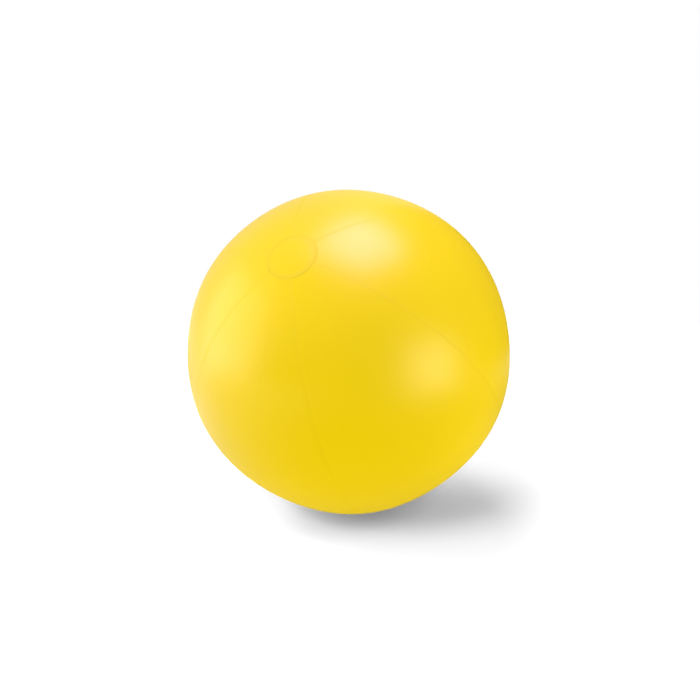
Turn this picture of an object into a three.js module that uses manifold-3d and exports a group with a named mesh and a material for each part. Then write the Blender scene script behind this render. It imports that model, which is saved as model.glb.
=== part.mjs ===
// A welded film beach ball, blown up and lying on the floor.
//
// Panels of film make the ball. The long edges of each panel are turned inwards as fins, and
// neighbouring fins are welded face to face, so that a seam shows from outside as a fine line.
// Film hardly stretches, so a panel stays a little flat between its seams, which stand out.
// The panel tips stop short of the poles, and a round disc is welded over them at each pole.
// The disc at the valve pole carries the mouth valve: a flange under the disc, a soft web, a stem
// that pulls out for blowing, a plug on a strap, and a flap inside that keeps the air in.
//
// Millimetres, +Z up. The origin is the middle of the patch on which the ball lies.
// Inside the ball group, +Z points from the ball's middle to its plain pole.

import * as THREE from "three";
import { mergeVertices } from "three/addons/utils/BufferGeometryUtils.js";
import Module from "manifold-3d";

const { degToRad } = THREE.MathUtils;

// Film envelope
const EQUATOR_DIAMETER = 260; // over the seams
const POLE_TO_POLE = 259; // over the panel film, along the ball's axis
const PANEL_COUNT = 6;
const PANEL_FLAT = 1.4; // how far a panel's middle lies inside its seams, at the equator
const FILM = 0.3; // thickness of the film
const SEAM_FIN = 4; // width of a panel edge that is turned inwards for its weld
const DISC_LAP = 4; // how far a pole disc reaches over the panel tips
const WELD_GAP = 0.3; // clearance kept between layers that are welded together

// How the ball lies
const POLE_LEAN = degToRad(49); // the plain pole from upright, towards -Y
const PANEL_SPIN = degToRad(16.3); // the first panel's middle from +X, about the ball's axis
const FLOOR_PATCH_RADIUS = 15; // the film lies flat on the floor inside this circle

// Mouth valve, pushed in
const BORE_DIAMETER = 5.6;
const STEM_WALL = 1.7;
const STEM_LENGTH = 14;
const STEM_COLLAR = 0.9; // how far the foot of the stem stands out past its wall
const COLLAR_HEIGHT = 1.2;
const RIM_HEIGHT = 1.4; // the stem's rim above the disc
const RIM_ROUND = 0.6;
const FLANGE_WIDTH = 3;
const FLANGE_THICKNESS = 0.8;
const WEB_THICKNESS = 0.6;
const PLUG_HEAD_DIAMETER = 8.4;
const PLUG_HEAD_THICKNESS = 1.6;
const PLUG_SHANK_LENGTH = 4.5; // below the stem's rim
const PLUG_SHANK_TAPER = 0.55; // how much the shank's radius shrinks towards its tip
const PLUG_TAB_WIDTH = 4.4;
const PLUG_TAB_REACH = 2.4; // how far the finger tab stands out past the head
const STRAP_WIDTH = 4;
const STRAP_THICKNESS = 1.2;
const STRAP_LEG = 1.8; // straight run of the strap before its bend
const STRAP_DROP = 2.6; // the strap's root below the stem's rim
const STRAP_CLEARANCE = 0.6; // between the strap's bend and the web around it
const FLAP_LAP = 0.9; // how far the flap reaches past the bore
const FLAP_THICKNESS = 0.6;
const VALVE_GAP = 0.3; // clearance between neighbouring valve pieces

// Facets
const PANEL_ROWS = 22;
const PANEL_COLUMNS = 6;
const FLOOR_LINES = 7; // extra rows and columns across the floor patch
const FLOOR_LINE_REACH = 1.1; // they run this many patch radii to either side
const ROUND_SEGMENTS = 24;
const CURVE_STEPS = 8;

// Panel section: the film between two seams is an arch of one radius, drawn at the equator and
// shrunk towards the poles.
const seamRadius = EQUATOR_DIAMETER / 2;
const crownRadius = seamRadius - PANEL_FLAT;
const poleHeight = POLE_TO_POLE / 2;
const halfWedge = Math.PI / PANEL_COUNT;
const halfChord = seamRadius * Math.sin(halfWedge);
const archRise = crownRadius - seamRadius * Math.cos(halfWedge);
const archRadius = (halfChord ** 2 + archRise ** 2) / (2 * archRise);
const archCentre = crownRadius - archRadius;
const archHalfAngle = Math.asin(halfChord / archRadius);

// Valve heights are measured outwards from the pole of the panel film.
const discTop = WELD_GAP + FILM;
const stemRadius = BORE_DIAMETER / 2 + STEM_WALL;
const stemRim = discTop + RIM_HEIGHT;
const stemFoot = stemRim - STEM_LENGTH;
const headBase = stemRim + VALVE_GAP;
const headRadius = PLUG_HEAD_DIAMETER / 2;
const strapTop = headBase + PLUG_HEAD_THICKNESS / 2;
const strapRoot = stemRim - STRAP_DROP;
const strapBend = (strapTop - strapRoot) / 2;
const strapMiddle = (strapTop + strapRoot) / 2;
const strapBendCentre = stemRadius + VALVE_GAP + STRAP_LEG;
const strapReach = strapBendCentre + strapBend + STRAP_THICKNESS / 2;

// Rings at the valve pole, each one sized from the ring inside it.
const mouthRadius = Math.hypot(strapReach, STRAP_WIDTH / 2) + STRAP_CLEARANCE;
const flangeInner = mouthRadius + WEB_THICKNESS + VALVE_GAP;
const flangeOuter = flangeInner + FLANGE_WIDTH;
const tipRadius = flangeOuter + WELD_GAP;
const discRadius = tipRadius + DISC_LAP;

const filmYellow = new THREE.MeshStandardMaterial({ color: 0xf3cf14, roughness: 0.4, metalness: 0 });
const valveWhite = new THREE.MeshStandardMaterial({ color: 0xf0efe6, roughness: 0.45, metalness: 0 });

const wasm = await Module();
wasm.setup();

// Geometry helpers

// A closed geometry as a solid that can be joined and cut.
function solidOf(geometry) {
  const bare = geometry.clone();
  bare.deleteAttribute("normal");
  bare.deleteAttribute("uv");
  const merged = mergeVertices(bare, 1e-4);
  const vertProperties = new Float32Array(merged.attributes.position.array);
  const triVerts = new Uint32Array(merged.index.array);
  return new wasm.Manifold(new wasm.Mesh({ numProp: 3, vertProperties, triVerts }));
}

function geometryOf(solid) {
  const { vertProperties, triVerts } = solid.getMesh();
  const geometry = new THREE.BufferGeometry();
  geometry.setAttribute("position", new THREE.BufferAttribute(vertProperties, 3));
  geometry.setIndex(new THREE.BufferAttribute(triVerts, 1));
  geometry.computeVertexNormals();
  return geometry;
}

// A ring or a round body about +Z. The [radius, height] outline runs anticlockwise.
function revolve(outline, segments = ROUND_SEGMENTS) {
  const points = [...outline, outline[0]].map(([radius, height]) => new THREE.Vector2(radius, height));
  return new THREE.LatheGeometry(points, segments).rotateX(Math.PI / 2);
}

// A closed sheet between two grids of points with the same rows and columns.
// Seen from outside, rows run down and columns run to the right.
function thickSheet(outer, inner) {
  const rows = outer.length;
  const columns = outer[0].length;
  const position = [...outer.flat(), ...inner.flat()].flatMap((point) => point.toArray());
  const out = (row, column) => row * columns + column;
  const back = (row, column) => rows * columns + out(row, column);
  const index = [];
  const quad = (a, b, c, d) => index.push(a, b, c, a, c, d);
  for (let row = 0; row < rows - 1; row++) {
    for (let column = 0; column < columns - 1; column++) {
      quad(out(row, column), out(row + 1, column), out(row + 1, column + 1), out(row, column + 1));
      quad(back(row, column), back(row, column + 1), back(row + 1, column + 1), back(row + 1, column));
    }
    const right = columns - 1;
    quad(out(row + 1, 0), out(row, 0), back(row, 0), back(row + 1, 0));
    quad(out(row, right), out(row + 1, right), back(row + 1, right), back(row, right));
  }
  for (let column = 0; column < columns - 1; column++) {
    const foot = rows - 1;
    quad(out(0, column), out(0, column + 1), back(0, column + 1), back(0, column));
    quad(out(foot, column + 1), out(foot, column), back(foot, column), back(foot, column + 1));
  }
  const geometry = new THREE.BufferGeometry();
  geometry.setAttribute("position", new THREE.Float32BufferAttribute(position, 3));
  geometry.setIndex(index);
  geometry.computeVertexNormals();
  return geometry;
}

// Evenly spaced values, both ends included.
function evenly(from, to, steps) {
  return Array.from({ length: steps + 1 }, (_, i) => from + ((to - from) * i) / steps);
}

// Evenly spaced values, with a closer band of them around a focus where one is given.
function gridLines(from, to, steps, focus) {
  const lines = evenly(from, to, steps);
  if (!focus) return lines;
  const bandStart = Math.max(from, focus.at - focus.reach);
  const bandEnd = Math.min(to, focus.at + focus.reach);
  const spacing = (bandEnd - bandStart) / FLOOR_LINES;
  const outside = lines.filter((line) => line < bandStart - spacing || line > bandEnd + spacing);
  const band = evenly(bandStart, bandEnd, FLOOR_LINES);
  return [...new Set([from, ...outside, ...band, to])].sort((a, b) => a - b);
}

// Envelope

// A point of the film, in a frame whose +X runs through the panel's middle. The tilt is the angle
// from the pole, the swing the angle along the panel's arch, and the depth is counted inwards.
function filmPoint(tilt, swing, depth) {
  const across = archRadius - depth;
  return new THREE.Vector3(
    (archCentre + across * Math.cos(swing)) * Math.sin(tilt),
    across * Math.sin(swing) * Math.sin(tilt),
    (poleHeight - depth) * Math.cos(tilt),
  );
}

// A point of a panel's turned-in edge. The side is -1 or 1, and the inset leads away from the seam.
function finPoint(tilt, side, depth, inset) {
  const edge = new THREE.Vector3(Math.cos(halfWedge), side * Math.sin(halfWedge), 0);
  const intoPanel = new THREE.Vector3(Math.sin(halfWedge), -side * Math.cos(halfWedge), 0);
  const inwards = edge
    .clone()
    .multiplyScalar(-poleHeight * Math.sin(tilt))
    .setZ(-seamRadius * Math.cos(tilt))
    .normalize();
  return edge
    .multiplyScalar(seamRadius * Math.sin(tilt))
    .setZ(poleHeight * Math.cos(tilt))
    .addScaledVector(inwards, depth)
    .addScaledVector(intoPanel, inset);
}

// The film's lowest point as the ball lies: the panel it is on, and its place on that panel.
function floorContact() {
  const down = new THREE.Vector3(0, 0, -1).applyEuler(new THREE.Euler(-POLE_LEAN, 0, 0));
  const heading = Math.atan2(down.y, down.x) - PANEL_SPIN;
  const panel = Math.round(heading / (2 * halfWedge));
  const swing = heading - panel * 2 * halfWedge;
  const sideways = Math.hypot(down.x, down.y);
  const reach = (archRadius + archCentre * Math.cos(swing)) * sideways;
  const tilt = Math.atan2(reach, poleHeight * down.z);
  return { panel: (panel + PANEL_COUNT) % PANEL_COUNT, tilt, swing };
}

const contact = floorContact();
const panelTurn = (panel) => PANEL_SPIN + panel * 2 * halfWedge;

// The ball group's placing: leaned, then set down so that the flat patch is at the origin.
function ballPlacing() {
  const leaned = new THREE.Matrix4().makeRotationX(POLE_LEAN);
  const lowest = filmPoint(contact.tilt, contact.swing, 0)
    .applyMatrix4(new THREE.Matrix4().makeRotationZ(panelTurn(contact.panel)))
    .applyMatrix4(leaned);
  const sink = crownRadius - Math.sqrt(crownRadius ** 2 - FLOOR_PATCH_RADIUS ** 2);
  return leaned.setPosition(-lowest.x, -lowest.y, -lowest.z - sink);
}

const placing = ballPlacing();

// Film that would lie below the floor is pressed flat onto it.
function pressOnFloor(point, toRow, height) {
  const placed = point.clone().applyMatrix4(toRow);
  placed.z = Math.max(placed.z, height);
  return placed.applyMatrix4(toRow.clone().invert());
}

function panelGeometry(panel) {
  const toRow = placing.clone().multiply(new THREE.Matrix4().makeRotationZ(panelTurn(panel)));
  const onFloor = panel === contact.panel;
  const reach = (FLOOR_LINE_REACH * FLOOR_PATCH_RADIUS) / crownRadius;
  const rowFocus = onFloor && { at: contact.tilt, reach };
  const columnFocus = onFloor && { at: contact.swing, reach: reach / Math.sin(contact.tilt) };
  const tipTilt = Math.asin(tipRadius / crownRadius);
  const tilts = gridLines(tipTilt, Math.PI - tipTilt, PANEL_ROWS, rowFocus);
  const swings = gridLines(-archHalfAngle, archHalfAngle, PANEL_COLUMNS, columnFocus).slice(1, -1);

  // One face of the film, from the tip of one fin across the panel to the tip of the other.
  const face = (depth) => {
    const inset = WELD_GAP / 2 + depth;
    return tilts.map((tilt) =>
      [
        finPoint(tilt, -1, SEAM_FIN, inset),
        finPoint(tilt, -1, depth, inset),
        ...swings.map((swing) => filmPoint(tilt, swing, depth)),
        finPoint(tilt, 1, depth, inset),
        finPoint(tilt, 1, SEAM_FIN, inset),
      ].map((point) => pressOnFloor(point, toRow, depth)),
    );
  };
  return thickSheet(face(0), face(FILM));
}

// Points along the film's curve near a pole, between two radii, raised off the seams.
function poleCurve(fromRadius, toRadius, raise, steps) {
  return evenly(fromRadius, toRadius, steps).map((radius) => {
    const tilt = Math.asin(radius / seamRadius);
    return [(seamRadius + raise) * Math.sin(tilt), (poleHeight + raise) * Math.cos(tilt)];
  });
}

// A round layer that follows the ball's curve at a pole, with a hole where one is given.
function poleLayer(holeRadius, rimRadius, low, high) {
  const steps = CURVE_STEPS / 2;
  return revolve([
    ...poleCurve(holeRadius, rimRadius, low, steps),
    ...poleCurve(holeRadius, rimRadius, high, steps).reverse(),
  ]);
}

// Mouth valve, drawn outwards along +Z from the pole of the panel film

function webGeometry() {
  // The web hangs from the flange and turns in to the stem just above its collar.
  const half = WEB_THICKNESS / 2;
  const mouth = mouthRadius + half;
  const top = poleCurve(mouth, mouth, 0, 1)[0][1] - poleHeight;
  const foot = stemFoot + COLLAR_HEIGHT + VALVE_GAP + half;
  const waist = stemRadius + VALVE_GAP;
  const fall = top - foot;
  const middle = new THREE.CubicBezierCurve(
    new THREE.Vector2(mouth, top),
    new THREE.Vector2(mouth, top - fall * 0.6),
    new THREE.Vector2(mouth - (mouth - waist) * 0.25, foot),
    new THREE.Vector2(waist, foot),
  );
  const side = (offset) =>
    evenly(0, 1, CURVE_STEPS).map((share) => {
      const at = middle.getPoint(share);
      const along = middle.getTangent(share);
      return [at.x - along.y * offset, at.y + along.x * offset];
    });
  return revolve([...side(-half), ...side(half).reverse()]);
}

function stemGeometry() {
  const bore = BORE_DIAMETER / 2;
  const collar = stemRadius + STEM_COLLAR;
  return revolve([
    [bore, stemFoot],
    [collar, stemFoot],
    [collar, stemFoot + COLLAR_HEIGHT],
    [stemRadius, stemFoot + COLLAR_HEIGHT],
    [stemRadius, stemRim - RIM_ROUND],
    [stemRadius - RIM_ROUND, stemRim],
    [bore, stemRim],
  ]);
}

function strapGeometry() {
  // A band bent double, from the stem's wall out and back to the edge of the plug's head.
  const outer = strapBend + STRAP_THICKNESS / 2;
  const inner = strapBend - STRAP_THICKNESS / 2;
  const root = stemRadius + VALVE_GAP;
  const tip = headRadius + VALVE_GAP;
  const outline = new THREE.Shape()
    .moveTo(root, strapMiddle - outer)
    .lineTo(strapBendCentre, strapMiddle - outer)
    .absarc(strapBendCentre, strapMiddle, outer, -Math.PI / 2, Math.PI / 2, false)
    .lineTo(tip, strapMiddle + outer)
    .lineTo(tip, strapMiddle + inner)
    .lineTo(strapBendCentre, strapMiddle + inner)
    .absarc(strapBendCentre, strapMiddle, inner, Math.PI / 2, -Math.PI / 2, true)
    .lineTo(root, strapMiddle - inner)
    .closePath();
  const options = { depth: STRAP_WIDTH, bevelEnabled: false, curveSegments: CURVE_STEPS };
  const band = new THREE.ExtrudeGeometry(outline, options).translate(0, 0, -STRAP_WIDTH / 2);
  return band.rotateX(Math.PI / 2).rotateZ(-Math.PI / 2);
}

function plugGeometry() {
  const shank = BORE_DIAMETER / 2 - VALVE_GAP;
  const tip = stemRim - PLUG_SHANK_LENGTH;
  const slope = PLUG_SHANK_TAPER;
  const headTop = headBase + PLUG_HEAD_THICKNESS;
  const round = revolve([
    [0, tip],
    [shank - 2 * slope, tip],
    [shank - slope, tip + slope],
    [shank, headBase - slope],
    [shank, headBase],
    [headRadius, headBase],
    [headRadius, headTop - slope],
    [headRadius - slope, headTop],
    [0, headTop],
  ]);
  // The finger tab stands out on the side away from the strap.
  const tabHalf = PLUG_TAB_WIDTH / 2;
  const tabStart = headRadius - tabHalf;
  const tabEnd = headRadius + PLUG_TAB_REACH - tabHalf;
  const outline = new THREE.Shape()
    .moveTo(-tabHalf, tabStart)
    .lineTo(tabHalf, tabStart)
    .lineTo(tabHalf, tabEnd)
    .absarc(0, tabEnd, tabHalf, 0, Math.PI, false)
    .closePath();
  const options = { depth: PLUG_HEAD_THICKNESS / 2, bevelEnabled: false, curveSegments: CURVE_STEPS };
  const tab = new THREE.ExtrudeGeometry(outline, options).translate(0, 0, headBase);
  return geometryOf(solidOf(round).add(solidOf(tab)));
}

function flapGeometry() {
  const rim = BORE_DIAMETER / 2 + FLAP_LAP;
  const face = stemFoot - VALVE_GAP;
  return revolve([
    [0, face - FLAP_THICKNESS],
    [rim, face - FLAP_THICKNESS],
    [rim, face],
    [0, face],
  ]);
}

// Assembly

function piece(name, geometry, material) {
  const mesh = new THREE.Mesh(geometry, material);
  mesh.name = name;
  return mesh;
}

const ball = new THREE.Group();
ball.applyMatrix4(placing);

for (let panel = 0; panel < PANEL_COUNT; panel++) {
  const film = piece(`panel_${panel + 1}`, panelGeometry(panel), filmYellow);
  film.rotation.z = panelTurn(panel);
  ball.add(film);
}

const plainDisc = poleLayer(0, discRadius, WELD_GAP, discTop);
const valveDisc = poleLayer(flangeInner, discRadius, WELD_GAP, discTop);
const flange = poleLayer(flangeInner, flangeOuter, -FLANGE_THICKNESS, 0);
ball.add(piece("plain_pole_disc", plainDisc, filmYellow));

const valvePole = new THREE.Group();
valvePole.rotation.x = Math.PI;
valvePole.add(piece("valve_pole_disc", valveDisc, filmYellow));
valvePole.add(piece("valve_flange", flange, valveWhite));
ball.add(valvePole);

const valve = new THREE.Group();
valve.position.z = poleHeight;
valve.add(piece("valve_web", webGeometry(), valveWhite));
valve.add(piece("valve_stem", stemGeometry(), valveWhite));
valve.add(piece("plug_strap", strapGeometry(), valveWhite));
valve.add(piece("valve_plug", plugGeometry(), valveWhite));
valve.add(piece("check_flap", flapGeometry(), valveWhite));
valvePole.add(valve);

const part = new THREE.Group();
part.add(ball);

export default part;
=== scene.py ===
# %% [markdown]
# # A welded beach ball
#
# The real ball is film and air: six yellow panels welded edge to edge, a round disc over their
# tips at each pole, and a soft mouth valve in one of the discs. The CAD model already fixes where
# every piece is and how the valve moves. This script loads that model as a frame that is never
# touched, and gives each piece the surface that the real one has.

# %% Load the frame
import math

import bmesh
import bpy
from mathutils import Matrix, Vector


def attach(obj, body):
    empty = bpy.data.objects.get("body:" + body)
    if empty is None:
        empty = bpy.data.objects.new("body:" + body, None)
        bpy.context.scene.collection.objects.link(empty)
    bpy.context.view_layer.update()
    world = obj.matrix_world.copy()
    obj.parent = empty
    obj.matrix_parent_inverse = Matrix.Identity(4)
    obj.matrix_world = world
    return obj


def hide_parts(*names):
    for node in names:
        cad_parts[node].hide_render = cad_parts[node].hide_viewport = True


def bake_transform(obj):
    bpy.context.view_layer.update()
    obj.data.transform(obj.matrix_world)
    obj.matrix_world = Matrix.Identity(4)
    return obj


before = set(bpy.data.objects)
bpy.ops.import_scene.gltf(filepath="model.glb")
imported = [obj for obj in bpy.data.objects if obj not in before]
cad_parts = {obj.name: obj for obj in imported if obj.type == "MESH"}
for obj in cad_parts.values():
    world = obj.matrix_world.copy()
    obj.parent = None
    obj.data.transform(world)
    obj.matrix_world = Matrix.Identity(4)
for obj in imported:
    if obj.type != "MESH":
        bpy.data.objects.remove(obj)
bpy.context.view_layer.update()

# %% [markdown]
# ## The ball's own measures
#
# A sphere is the quick way to a ball, but film that is welded from panels is no sphere. Film hardly
# stretches, so each panel stays a little flat from seam to seam, and the seams stand out by more
# than a millimetre, which shows in the outline. The film pieces below are drawn from the same
# sizes as the CAD model. There each panel is one flat arc from seam to seam, and two panels meet
# in a sharp edge. Here a round ridge runs over each seam, as film under air has it, and fades
# towards the poles. The arc is still worked out, because it says where the ball touches the floor.

# %% Sizes of the film
MM = 0.001
SEAM_RADIUS = 130 * MM
PANEL_FLAT = 1.4 * MM
POLE_HEIGHT = 129.5 * MM
PANEL_COUNT = 6
FILM = 0.3 * MM
TIP_RADIUS = 14.07 * MM
DISC_RADIUS = 18.07 * MM
DISC_HOLE_RADIUS = 10.77 * MM

half_wedge = math.pi / PANEL_COUNT
crown_radius = SEAM_RADIUS - PANEL_FLAT
half_chord = SEAM_RADIUS * math.sin(half_wedge)
arch_rise = crown_radius - SEAM_RADIUS * math.cos(half_wedge)
arch_radius = (half_chord**2 + arch_rise**2) / (2 * arch_rise)
arch_centre = crown_radius - arch_radius
tip_tilt = math.asin(TIP_RADIUS / crown_radius)
print(f"arch radius {arch_radius / MM:.1f} mm, crown radius {crown_radius / MM:.1f} mm")

# %% Where the ball lies
POLE_LEAN = math.radians(49)
PANEL_SPIN = math.radians(16.3)
FLOOR_PATCH_RADIUS = 15 * MM


def panel_turn(panel):
    return PANEL_SPIN + panel * 2 * half_wedge


def film_point(tilt, swing):
    """A point of the film, in a frame whose +X runs through the panel's middle."""
    across = arch_centre + arch_radius * math.cos(swing)
    return Vector((
        across * math.sin(tilt),
        arch_radius * math.sin(swing) * math.sin(tilt),
        POLE_HEIGHT * math.cos(tilt),
    ))


leaned = Matrix.Rotation(POLE_LEAN, 4, "X")
down = leaned.inverted() @ Vector((0, 0, -1))
heading = math.atan2(down.y, down.x) - PANEL_SPIN
lowest_panel = round(heading / (2 * half_wedge))
lowest_swing = heading - lowest_panel * 2 * half_wedge
lowest_reach = arch_radius + arch_centre * math.cos(lowest_swing)
lowest_tilt = math.atan2(lowest_reach * math.hypot(down.x, down.y), POLE_HEIGHT * down.z)
turned = leaned @ Matrix.Rotation(panel_turn(lowest_panel), 4, "Z")
lowest = turned @ film_point(lowest_tilt, lowest_swing)
sink = crown_radius - math.sqrt(crown_radius**2 - FLOOR_PATCH_RADIUS**2)
ball_middle = Vector((0, 0, -sink)) - lowest
ball_place = Matrix.Translation(ball_middle) @ leaned
valve_pole_place = ball_place @ Matrix.Rotation(math.pi, 4, "X")
valve_place = valve_pole_place @ Matrix.Translation((0, 0, POLE_HEIGHT))
print("middle of the ball in mm:", [round(x / MM, 2) for x in ball_middle])

# %% [markdown]
# ## The camera
#
# The seams and the pole disc of the photograph give the view: the lens is about four ball radii
# from the ball, a little above it, and aimed almost at its middle. A lens that close makes the
# ball's near side swell, so the distance matters as much as the angle.

# %% Place the camera
CAMERA_AZIMUTH = math.radians(23)
CAMERA_ELEVATION = math.radians(12.3)
CAMERA_DISTANCE = 4.22 * SEAM_RADIUS
CAMERA_LENS = 34.32
CAMERA_SENSOR = 36
CAMERA_CLIP = 10 * MM
AIM_RIGHT = 0.9 * MM
AIM_UP = 1.35 * MM


def from_view(right, toward, up):
    """A direction said as the viewer says it, in the frame's own axes."""
    sine, cosine = math.sin(CAMERA_AZIMUTH), math.cos(CAMERA_AZIMUTH)
    return Vector((right * cosine + toward * sine, right * sine - toward * cosine, up))


def link_object(name, data):
    """An object for a mesh, a lamp or a camera, put into the scene."""
    made = bpy.data.objects.new(name, data)
    bpy.context.scene.collection.objects.link(made)
    return made


camera_data = bpy.data.cameras.new("camera")
camera_data.lens = CAMERA_LENS
camera_data.sensor_width = CAMERA_SENSOR
camera_data.clip_start = CAMERA_CLIP
camera = link_object("camera", camera_data)
back = from_view(0, math.cos(CAMERA_ELEVATION), math.sin(CAMERA_ELEVATION))
aim = ball_middle + from_view(AIM_RIGHT, 0, AIM_UP)
camera.location = aim + back * CAMERA_DISTANCE
camera.rotation_euler = (-back).to_track_quat("-Z", "Y").to_euler()
bpy.context.scene.camera = camera
print("camera at", [round(x, 3) for x in camera.location])

# %% [markdown]
# ## Formulas as nodes
#
# Both Geometry Nodes and shader nodes do their sums with the Math node, and a long sum made of
# single nodes is hard to read in a script. The small class below lets a script write the sum as
# plain arithmetic: each + or * on a field adds one Math node and links it up.

# %% A field that does arithmetic
class Field:
    """A value that changes over a surface, held by one output socket of a node tree."""

    def __init__(self, socket):
        self.socket = socket
        self.tree = socket.id_data

    def __add__(self, other):
        return compute(self.tree, "ADD", self, other)

    def __radd__(self, other):
        return compute(self.tree, "ADD", other, self)

    def __sub__(self, other):
        return compute(self.tree, "SUBTRACT", self, other)

    def __rsub__(self, other):
        return compute(self.tree, "SUBTRACT", other, self)

    def __mul__(self, other):
        return compute(self.tree, "MULTIPLY", self, other)

    def __rmul__(self, other):
        return compute(self.tree, "MULTIPLY", other, self)

    def __truediv__(self, other):
        return compute(self.tree, "DIVIDE", self, other)

    def apply(self, operation, *others):
        return compute(self.tree, operation, self, *others)


def connect(tree, value, slot):
    """Feeds an input from a field or a socket, or sets it to a plain value."""
    if isinstance(value, Field):
        tree.links.new(value.socket, slot)
    elif isinstance(value, bpy.types.NodeSocket):
        tree.links.new(value, slot)
    else:
        slot.default_value = value


def compute(tree, operation, *values):
    node = tree.nodes.new("ShaderNodeMath")
    node.operation = operation
    for value, slot in zip(values, node.inputs):
        connect(tree, value, slot)
    return Field(node.outputs[0])


def add_node(tree, kind, settings=None, **inputs):
    """A node with its settings made and its named inputs fed."""
    node = tree.nodes.new(kind)
    for name, value in (settings or {}).items():
        setattr(node, name, value)
    for name, value in inputs.items():
        connect(tree, value, node.inputs[name.replace("_", " ")])
    return node


def combine(tree, x, y, z):
    return add_node(tree, "ShaderNodeCombineXYZ", X=x, Y=y, Z=z).outputs[0]


def separate(tree, vector):
    node = add_node(tree, "ShaderNodeSeparateXYZ", Vector=vector)
    return [Field(socket) for socket in node.outputs]


def rotate(tree, vector, axis, angle):
    settings = {"rotation_type": f"{axis}_AXIS"}
    return add_node(tree, "ShaderNodeVectorRotate", settings, Vector=vector, Angle=angle).outputs[0]


print("formula helpers ready")

# %% [markdown]
# ## Floor and background
#
# The ball lies on white, and the floor runs on into the background without a line. A floor that is
# only lit never comes out as an even white, so the floor also glows: hardly at all near the ball,
# and fully far away. A Light Path node tells which kind of ray arrives, and the glow is for rays
# from the camera, a reflection or a clear material alone. So it puts no light on the ball, and the
# ball's shadow stays. To all other rays the floor is black, because a lamp below it gives the ball
# the light that a white floor throws up, with far less noise.
#
# What the ball mirrors of the floor is set by itself. It is dim round the ball, has a painted yellow
# patch that stands for the ball's own light falling on it, and has a painted glow on the left that
# stands for a tall panel's light.
# The background is dimmer in reflections too than the white that the camera sees.

# %% Kinds of rays, and distances
def seen_as_white(tree):
    """Whether a ray comes from the camera, and whether it comes from a reflection or clear matter."""
    rays = tree.nodes.new("ShaderNodeLightPath").outputs
    mirrored = Field(rays["Is Glossy Ray"]) + Field(rays["Is Transmission Ray"])
    return Field(rays["Is Camera Ray"]), mirrored.apply("MINIMUM", 1.0)


def smooth_step(share):
    """A share that is held between 0 and 1 and starts and ends gently."""
    share = share.apply("MAXIMUM", 0.0).apply("MINIMUM", 1.0)
    return share * share * (3.0 - share * 2.0)


def distance_from(tree, place, point):
    node = add_node(tree, "ShaderNodeVectorMath", {"operation": "DISTANCE"})
    connect(tree, place, node.inputs[0])
    connect(tree, point, node.inputs[1])
    return Field(node.outputs["Value"])


print("ray helpers ready")

# %% Floor finish
FLOOR_WHITE = 0.9
FLOOR_MIRRORED = 0.12
FLOOR_GLOW = 0.03
FLOOR_NEAR = 0.45
FLOOR_FAR = 1.1
FLOOR_RISE = 1.6
PAINTED_BOUNCE_COLOUR = (0.75, 0.58, 0.0)
PAINTED_BOUNCE_RIGHT = 0.06
PAINTED_BOUNCE_REACH = 0.25
LEFT_GLOW = 0.97
LEFT_NEAR = 0.04
LEFT_FAR = 0.32
LEFT_BACK = 0.5
LEFT_FADE = 0.4


def floor_material():
    material = bpy.data.materials.new("white floor")
    material.use_nodes = True
    tree = material.node_tree
    shader = tree.nodes["Principled BSDF"]
    place = tree.nodes.new("ShaderNodeTexCoord").outputs["Object"]
    away = (distance_from(tree, place, Vector()) - FLOOR_NEAR) / (FLOOR_FAR - FLOOR_NEAR)
    away = away.apply("MAXIMUM", 0.0).apply("MINIMUM", 1.0)
    direct, mirrored = seen_as_white(tree)

    # The paint, for the camera and for reflections.
    # A painted yellow patch, seen only in reflections, stands for the light that the ball throws onto
    # the floor.
    painted_bounce = smooth_step(1.0 - distance_from(tree, place, from_view(PAINTED_BOUNCE_RIGHT, 0, 0)) / PAINTED_BOUNCE_REACH)
    mirrored_paint = [mirrored * (painted_bounce * share + FLOOR_MIRRORED) for share in PAINTED_BOUNCE_COLOUR]
    paint = [(direct * FLOOR_WHITE + tint) * (1.0 - away) for tint in mirrored_paint]
    connect(tree, combine(tree, *paint), shader.inputs["Base Color"])

    # The glow. On the left it is a painted glow, seen only in reflections, that stands for the left
    # panel's light on the floor.
    x, y, _ = separate(tree, place)
    leftwards = from_view(-1, 0, 0)
    forwards = from_view(0, 1, 0)
    to_left = (x * leftwards.x + y * leftwards.y - LEFT_NEAR) / (LEFT_FAR - LEFT_NEAR)
    to_front = (x * forwards.x + y * forwards.y + LEFT_BACK) / LEFT_FADE
    painted_panel_glow = smooth_step(to_left) * smooth_step(to_front) * mirrored * LEFT_GLOW
    glow = (away * FLOOR_RISE + FLOOR_GLOW).apply("MINIMUM", 1.0) * (direct + mirrored) + painted_panel_glow
    connect(tree, glow, shader.inputs["Emission Strength"])
    shader.inputs["Emission Color"].default_value = (1, 1, 1, 1)
    shader.inputs["Roughness"].default_value = 1
    shader.inputs["Specular IOR Level"].default_value = 0
    return material


floor_white = floor_material()
print("floor finish with", len(floor_white.node_tree.nodes), "nodes")

# %% Floor sheet
FLOOR_SIZE = 12
FLOOR_DROP = 0.02 * MM

half = FLOOR_SIZE / 2
corners = [(x * half, y * half, -FLOOR_DROP) for x, y in ((-1, -1), (1, -1), (1, 1), (-1, 1))]
floor_mesh = bpy.data.meshes.new("floor")
floor_mesh.from_pydata(corners, [], [range(len(corners))])
floor_mesh.materials.append(floor_white)
floor = link_object("floor", floor_mesh)
print("floor", FLOOR_SIZE, "m wide")

# %% White world
AMBIENT = 0.28
MIRRORED_WORLD = 0.68

world = bpy.data.worlds.new("white studio")
world.use_nodes = True
background = world.node_tree.nodes["Background"]
direct, mirrored = seen_as_white(world.node_tree)
background.inputs["Color"].default_value = (1, 1, 1, 1)
strength = direct * (1 - AMBIENT) + mirrored * (MIRRORED_WORLD - AMBIENT) + AMBIENT
connect(world.node_tree, strength, background.inputs["Strength"])
bpy.context.scene.world = world
bpy.context.scene.view_settings.view_transform = "Standard"
print("ambient light", AMBIENT)

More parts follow.
